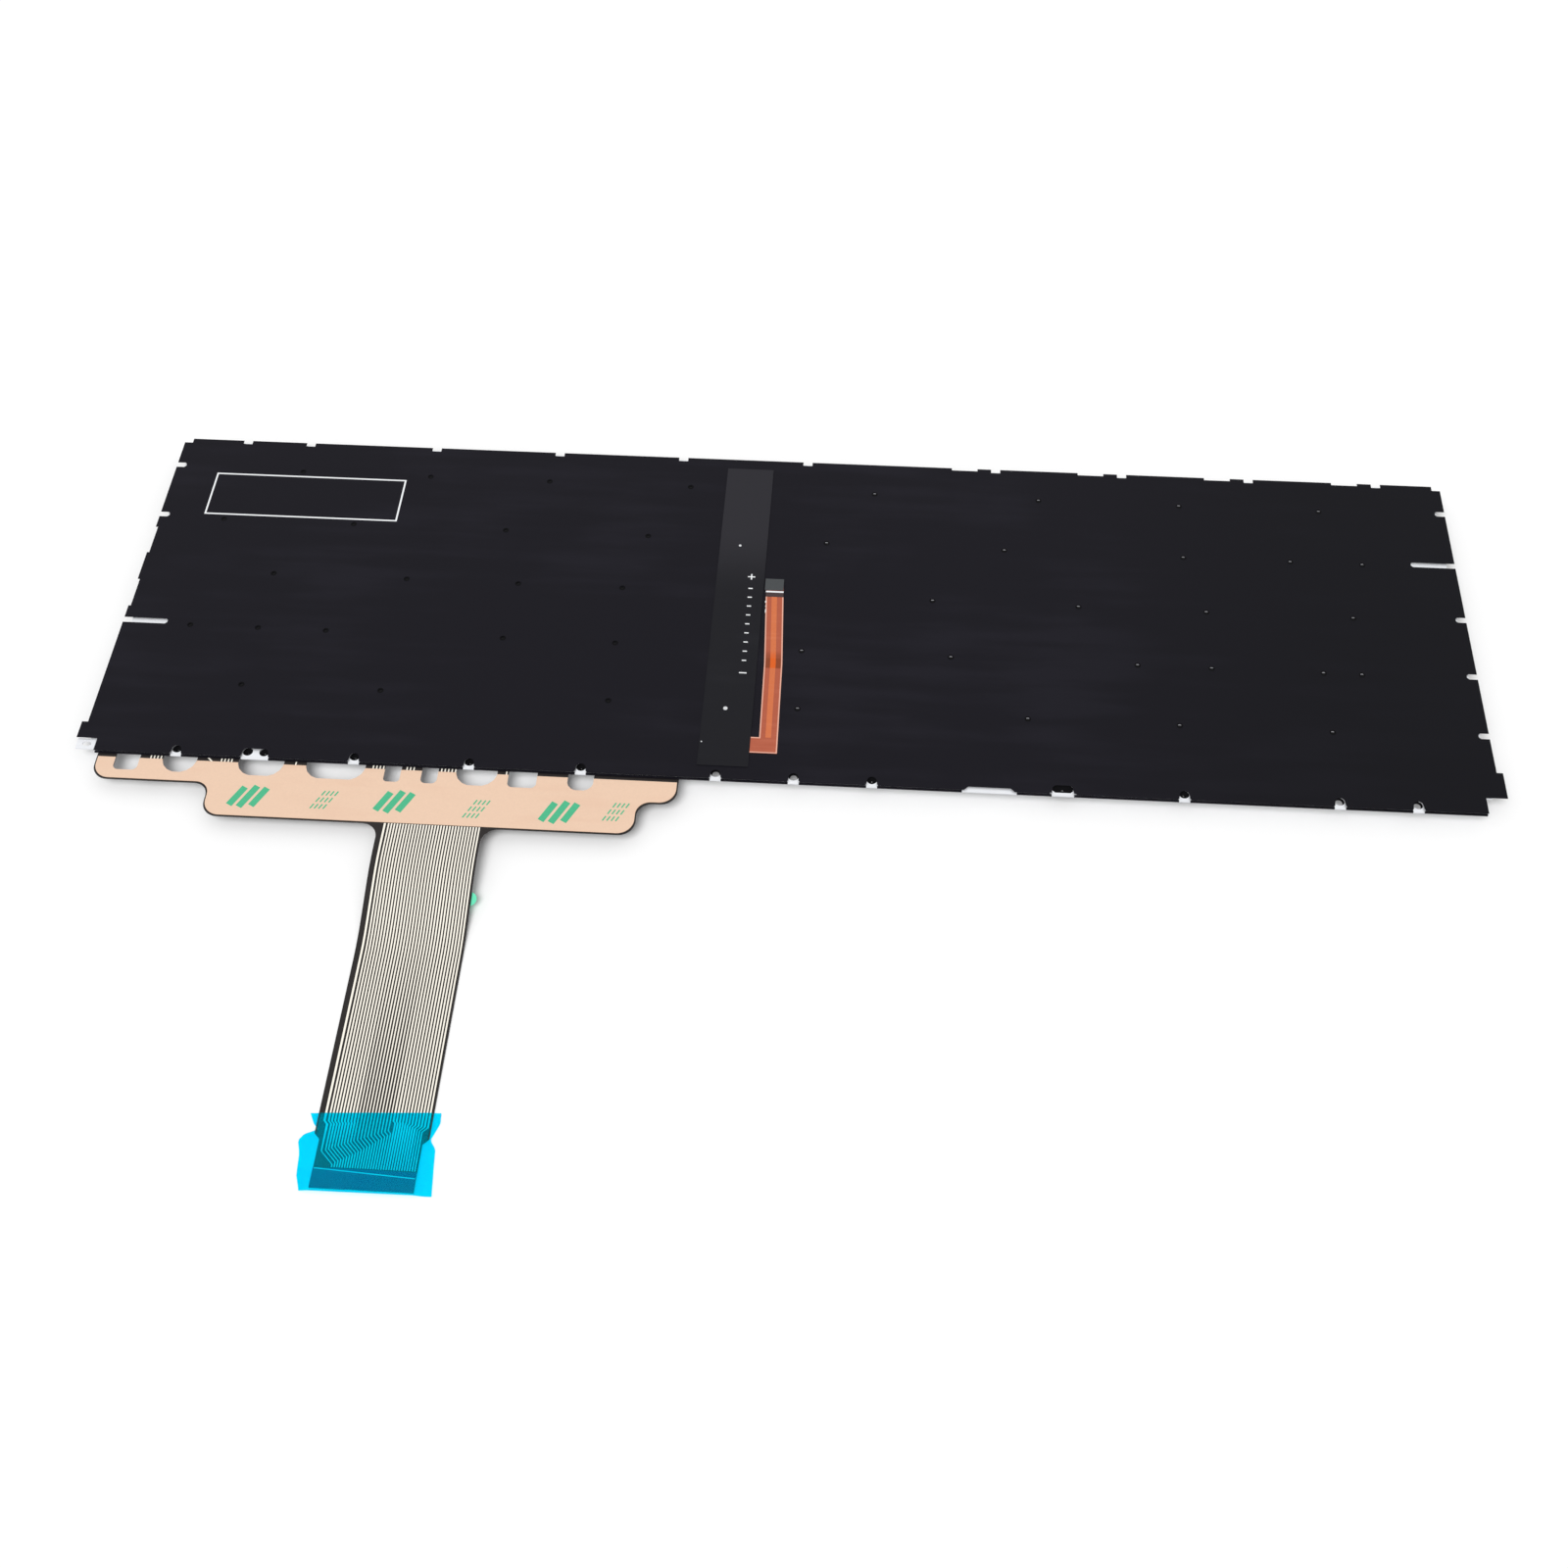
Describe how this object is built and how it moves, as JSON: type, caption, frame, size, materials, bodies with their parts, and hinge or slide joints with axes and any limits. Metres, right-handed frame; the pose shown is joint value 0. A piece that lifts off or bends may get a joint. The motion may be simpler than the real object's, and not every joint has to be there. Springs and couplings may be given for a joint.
{
  "type": "laptop replacement keyboard",
  "caption": "Thin backlit notebook keyboard with number pad: sprung keycaps on a sheet-metal plate, black back film, taped front flange, bent ribbon tail and backlight tail.",
  "frame": {"origin": "middle of the board, at the level of the key tops it lies on", "axes": "+X across the board towards the Escape side, +Y from the ribbon to the function row, +Z from the key tops to the back film"},
  "size_m": [0.348, 0.2145, 0.0054],
  "materials": {
    "keycap": "fine-textured black caps with printed legends",
    "dome": "milky silicone",
    "plate": "bare rolled sheet",
    "guide": "clear light-guide sheet",
    "film": "black printed film, slightly satin",
    "flex": "orange polyimide",
    "cover": "black cover film",
    "led": "pale package with a yellow face",
    "flex_end": "grey stiffener",
    "membrane": "clear film with printed traces",
    "liner": "peach release paper",
    "ribbon_end": "cream stiffener",
    "wrap": "clear blue film"
  },
  "bodies": {
    "board": {"adhesive_tape": "liner", "base_plate": "plate", "flex_stiffener": "flex_end", "function_row_keys": "keycap", "keypad_keys": "keycap", "led_cover": "cover", "led_flex": "flex", "leds": "led", "light_guide": "guide", "lower_row_keys": "keycap", "membrane": "membrane", "number_row_keys": "keycap", "protective_film": "wrap", "ribbon_stiffener": "ribbon_end", "rubber_domes": "dome", "shade_film": "film"},
    "key_a": {"key_a": "keycap"},
    "key_b": {"key_b": "keycap"},
    "key_backslash": {"key_backslash": "keycap"},
    "key_bracket_left": {"key_bracket_left": "keycap"},
    "key_bracket_right": {"key_bracket_right": "keycap"},
    "key_c": {"key_c": "keycap"},
    "key_caps_lock": {"key_caps_lock": "keycap"},
    "key_comma": {"key_comma": "keycap"},
    "key_d": {"key_d": "keycap"},
    "key_e": {"key_e": "keycap"},
    "key_enter": {"key_enter": "keycap"},
    "key_f": {"key_f": "keycap"},
    "key_g": {"key_g": "keycap"},
    "key_h": {"key_h": "keycap"},
    "key_hash": {"key_hash": "keycap"},
    "key_i": {"key_i": "keycap"},
    "key_j": {"key_j": "keycap"},
    "key_k": {"key_k": "keycap"},
    "key_l": {"key_l": "keycap"},
    "key_m": {"key_m": "keycap"},
    "key_n": {"key_n": "keycap"},
    "key_o": {"key_o": "keycap"},
    "key_p": {"key_p": "keycap"},
    "key_period": {"key_period": "keycap"},
    "key_q": {"key_q": "keycap"},
    "key_quote": {"key_quote": "keycap"},
    "key_r": {"key_r": "keycap"},
    "key_s": {"key_s": "keycap"},
    "key_semicolon": {"key_semicolon": "keycap"},
    "key_shift_left": {"key_shift_left": "keycap"},
    "key_shift_right": {"key_shift_right": "keycap"},
    "key_slash": {"key_slash": "keycap"},
    "key_space": {"key_space": "keycap"},
    "key_t": {"key_t": "keycap"},
    "key_tab": {"key_tab": "keycap"},
    "key_u": {"key_u": "keycap"},
    "key_v": {"key_v": "keycap"},
    "key_w": {"key_w": "keycap"},
    "key_x": {"key_x": "keycap"},
    "key_y": {"key_y": "keycap"},
    "key_z": {"key_z": "keycap"}
  },
  "joints": [
    {"name": "press_a", "type": "slide", "parent": "board", "child": "key_a", "axis": [0, 0, 1], "range_m": [0, 0.0014], "stiffness_N_per_m": 390, "deforming": ["rubber_domes"]},
    {"name": "press_b", "type": "slide", "parent": "board", "child": "key_b", "axis": [0, 0, 1], "range_m": [0, 0.0014], "stiffness_N_per_m": 390, "deforming": ["rubber_domes"]},
    {"name": "press_backslash", "type": "slide", "parent": "board", "child": "key_backslash", "axis": [0, 0, 1], "range_m": [0, 0.0014], "stiffness_N_per_m": 390, "deforming": ["rubber_domes"]},
    {"name": "press_bracket_left", "type": "slide", "parent": "board", "child": "key_bracket_left", "axis": [0, 0, 1], "range_m": [0, 0.0014], "stiffness_N_per_m": 390, "deforming": ["rubber_domes"]},
    {"name": "press_bracket_right", "type": "slide", "parent": "board", "child": "key_bracket_right", "axis": [0, 0, 1], "range_m": [0, 0.0014], "stiffness_N_per_m": 390, "deforming": ["rubber_domes"]},
    {"name": "press_c", "type": "slide", "parent": "board", "child": "key_c", "axis": [0, 0, 1], "range_m": [0, 0.0014], "stiffness_N_per_m": 390, "deforming": ["rubber_domes"]},
    {"name": "press_caps_lock", "type": "slide", "parent": "board", "child": "key_caps_lock", "axis": [0, 0, 1], "range_m": [0, 0.0014], "stiffness_N_per_m": 390, "deforming": ["rubber_domes"]},
    {"name": "press_comma", "type": "slide", "parent": "board", "child": "key_comma", "axis": [0, 0, 1], "range_m": [0, 0.0014], "stiffness_N_per_m": 390, "deforming": ["rubber_domes"]},
    {"name": "press_d", "type": "slide", "parent": "board", "child": "key_d", "axis": [0, 0, 1], "range_m": [0, 0.0014], "stiffness_N_per_m": 390, "deforming": ["rubber_domes"]},
    {"name": "press_e", "type": "slide", "parent": "board", "child": "key_e", "axis": [0, 0, 1], "range_m": [0, 0.0014], "stiffness_N_per_m": 390, "deforming": ["rubber_domes"]},
    {"name": "press_enter", "type": "slide", "parent": "board", "child": "key_enter", "axis": [0, 0, 1], "range_m": [0, 0.0014], "stiffness_N_per_m": 390, "deforming": ["rubber_domes"]},
    {"name": "press_f", "type": "slide", "parent": "board", "child": "key_f", "axis": [0, 0, 1], "range_m": [0, 0.0014], "stiffness_N_per_m": 390, "deforming": ["rubber_domes"]},
    {"name": "press_g", "type": "slide", "parent": "board", "child": "key_g", "axis": [0, 0, 1], "range_m": [0, 0.0014], "stiffness_N_per_m": 390, "deforming": ["rubber_domes"]},
    {"name": "press_h", "type": "slide", "parent": "board", "child": "key_h", "axis": [0, 0, 1], "range_m": [0, 0.0014], "stiffness_N_per_m": 390, "deforming": ["rubber_domes"]},
    {"name": "press_hash", "type": "slide", "parent": "board", "child": "key_hash", "axis": [0, 0, 1], "range_m": [0, 0.0014], "stiffness_N_per_m": 390, "deforming": ["rubber_domes"]},
    {"name": "press_i", "type": "slide", "parent": "board", "child": "key_i", "axis": [0, 0, 1], "range_m": [0, 0.0014], "stiffness_N_per_m": 390, "deforming": ["rubber_domes"]},
    {"name": "press_j", "type": "slide", "parent": "board", "child": "key_j", "axis": [0, 0, 1], "range_m": [0, 0.0014], "stiffness_N_per_m": 390, "deforming": ["rubber_domes"]},
    {"name": "press_k", "type": "slide", "parent": "board", "child": "key_k", "axis": [0, 0, 1], "range_m": [0, 0.0014], "stiffness_N_per_m": 390, "deforming": ["rubber_domes"]},
    {"name": "press_l", "type": "slide", "parent": "board", "child": "key_l", "axis": [0, 0, 1], "range_m": [0, 0.0014], "stiffness_N_per_m": 390, "deforming": ["rubber_domes"]},
    {"name": "press_m", "type": "slide", "parent": "board", "child": "key_m", "axis": [0, 0, 1], "range_m": [0, 0.0014], "stiffness_N_per_m": 390, "deforming": ["rubber_domes"]},
    {"name": "press_n", "type": "slide", "parent": "board", "child": "key_n", "axis": [0, 0, 1], "range_m": [0, 0.0014], "stiffness_N_per_m": 390, "deforming": ["rubber_domes"]},
    {"name": "press_o", "type": "slide", "parent": "board", "child": "key_o", "axis": [0, 0, 1], "range_m": [0, 0.0014], "stiffness_N_per_m": 390, "deforming": ["rubber_domes"]},
    {"name": "press_p", "type": "slide", "parent": "board", "child": "key_p", "axis": [0, 0, 1], "range_m": [0, 0.0014], "stiffness_N_per_m": 390, "deforming": ["rubber_domes"]},
    {"name": "press_period", "type": "slide", "parent": "board", "child": "key_period", "axis": [0, 0, 1], "range_m": [0, 0.0014], "stiffness_N_per_m": 390, "deforming": ["rubber_domes"]},
    {"name": "press_q", "type": "slide", "parent": "board", "child": "key_q", "axis": [0, 0, 1], "range_m": [0, 0.0014], "stiffness_N_per_m": 390, "deforming": ["rubber_domes"]},
    {"name": "press_quote", "type": "slide", "parent": "board", "child": "key_quote", "axis": [0, 0, 1], "range_m": [0, 0.0014], "stiffness_N_per_m": 390, "deforming": ["rubber_domes"]},
    {"name": "press_r", "type": "slide", "parent": "board", "child": "key_r", "axis": [0, 0, 1], "range_m": [0, 0.0014], "stiffness_N_per_m": 390, "deforming": ["rubber_domes"]},
    {"name": "press_s", "type": "slide", "parent": "board", "child": "key_s", "axis": [0, 0, 1], "range_m": [0, 0.0014], "stiffness_N_per_m": 390, "deforming": ["rubber_domes"]},
    {"name": "press_semicolon", "type": "slide", "parent": "board", "child": "key_semicolon", "axis": [0, 0, 1], "range_m": [0, 0.0014], "stiffness_N_per_m": 390, "deforming": ["rubber_domes"]},
    {"name": "press_shift_left", "type": "slide", "parent": "board", "child": "key_shift_left", "axis": [0, 0, 1], "range_m": [0, 0.0014], "stiffness_N_per_m": 390, "deforming": ["rubber_domes"]},
    {"name": "press_shift_right", "type": "slide", "parent": "board", "child": "key_shift_right", "axis": [0, 0, 1], "range_m": [0, 0.0014], "stiffness_N_per_m": 390, "deforming": ["rubber_domes"]},
    {"name": "press_slash", "type": "slide", "parent": "board", "child": "key_slash", "axis": [0, 0, 1], "range_m": [0, 0.0014], "stiffness_N_per_m": 390, "deforming": ["rubber_domes"]},
    {"name": "press_space", "type": "slide", "parent": "board", "child": "key_space", "axis": [0, 0, 1], "range_m": [0, 0.0014], "stiffness_N_per_m": 390, "deforming": ["rubber_domes"]},
    {"name": "press_t", "type": "slide", "parent": "board", "child": "key_t", "axis": [0, 0, 1], "range_m": [0, 0.0014], "stiffness_N_per_m": 390, "deforming": ["rubber_domes"]},
    {"name": "press_tab", "type": "slide", "parent": "board", "child": "key_tab", "axis": [0, 0, 1], "range_m": [0, 0.0014], "stiffness_N_per_m": 390, "deforming": ["rubber_domes"]},
    {"name": "press_u", "type": "slide", "parent": "board", "child": "key_u", "axis": [0, 0, 1], "range_m": [0, 0.0014], "stiffness_N_per_m": 390, "deforming": ["rubber_domes"]},
    {"name": "press_v", "type": "slide", "parent": "board", "child": "key_v", "axis": [0, 0, 1], "range_m": [0, 0.0014], "stiffness_N_per_m": 390, "deforming": ["rubber_domes"]},
    {"name": "press_w", "type": "slide", "parent": "board", "child": "key_w", "axis": [0, 0, 1], "range_m": [0, 0.0014], "stiffness_N_per_m": 390, "deforming": ["rubber_domes"]},
    {"name": "press_x", "type": "slide", "parent": "board", "child": "key_x", "axis": [0, 0, 1], "range_m": [0, 0.0014], "stiffness_N_per_m": 390, "deforming": ["rubber_domes"]},
    {"name": "press_y", "type": "slide", "parent": "board", "child": "key_y", "axis": [0, 0, 1], "range_m": [0, 0.0014], "stiffness_N_per_m": 390, "deforming": ["rubber_domes"]},
    {"name": "press_z", "type": "slide", "parent": "board", "child": "key_z", "axis": [0, 0, 1], "range_m": [0, 0.0014], "stiffness_N_per_m": 390, "deforming": ["rubber_domes"]}
  ]
}
